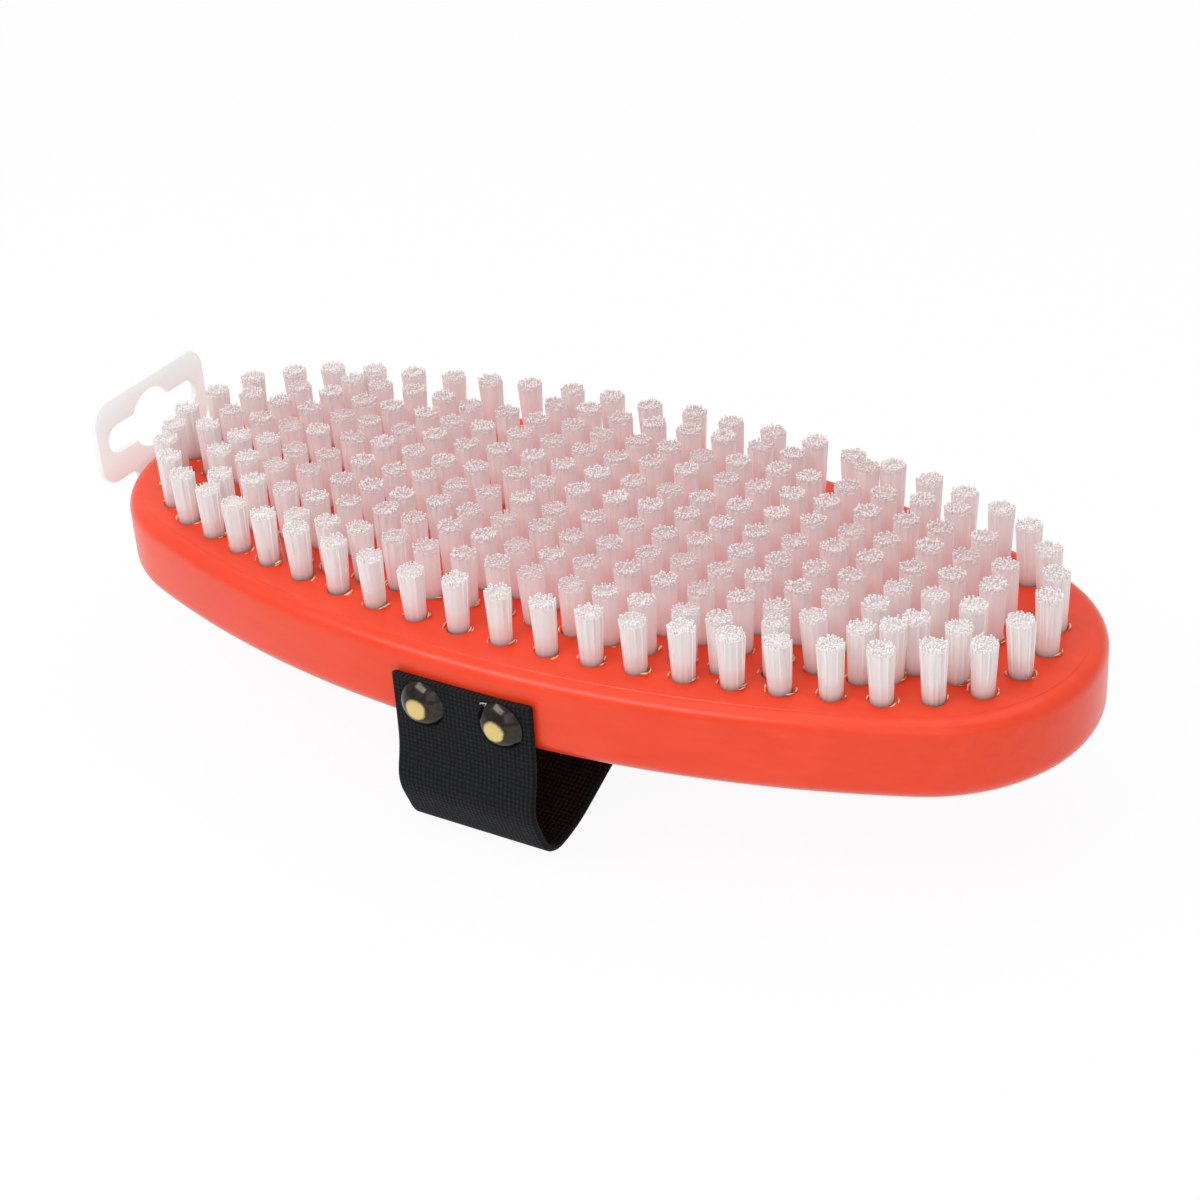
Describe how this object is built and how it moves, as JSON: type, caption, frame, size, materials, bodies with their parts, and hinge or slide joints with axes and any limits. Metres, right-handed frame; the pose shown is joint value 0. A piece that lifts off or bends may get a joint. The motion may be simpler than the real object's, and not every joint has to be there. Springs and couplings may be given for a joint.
{
  "type": "palm brush",
  "caption": "Oval hand brush with nylon tufts in a lacquered wood block, an elastic palm strap underneath and a folding hang tab.",
  "frame": {"origin": "middle of the block's flat palm face", "axes": "+X along the block, away from the hang tab; +Y across it; +Z out through the bristles"},
  "size_m": [0.2122, 0.1032, 0.0564],
  "materials": {
    "lacquered_wood": "gloss lacquer",
    "nylon": "translucent nylon filament",
    "anchor_wire": "flat wire",
    "webbing": "woven elastic",
    "antique_brass": "dark patina, polished on the crown",
    "nail_steel": "drawn wire",
    "tab_plastic": "milky translucent sheet"
  },
  "bodies": {
    "brush": {"block": "lacquered_wood", "bristles": "nylon", "tuft_anchors": "anchor_wire", "strap": "webbing", "nail_cap_near_left": "antique_brass", "nail_cap_near_right": "antique_brass", "nail_cap_far_left": "antique_brass", "nail_cap_far_right": "antique_brass", "nail_shank_near_left": "nail_steel", "nail_shank_near_right": "nail_steel", "nail_shank_far_left": "nail_steel", "nail_shank_far_right": "nail_steel", "hang_tab_foot": "tab_plastic", "tab_staple": "anchor_wire"},
    "tab": {"hang_tab": "tab_plastic"}
  },
  "joints": [
    {"name": "tab_fold", "type": "hinge", "parent": "brush", "child": "tab", "pos_m": [-0.10562, -0.002, 0.0135], "axis": [0, -1, 0], "range_deg": [0, 90]}
  ]
}
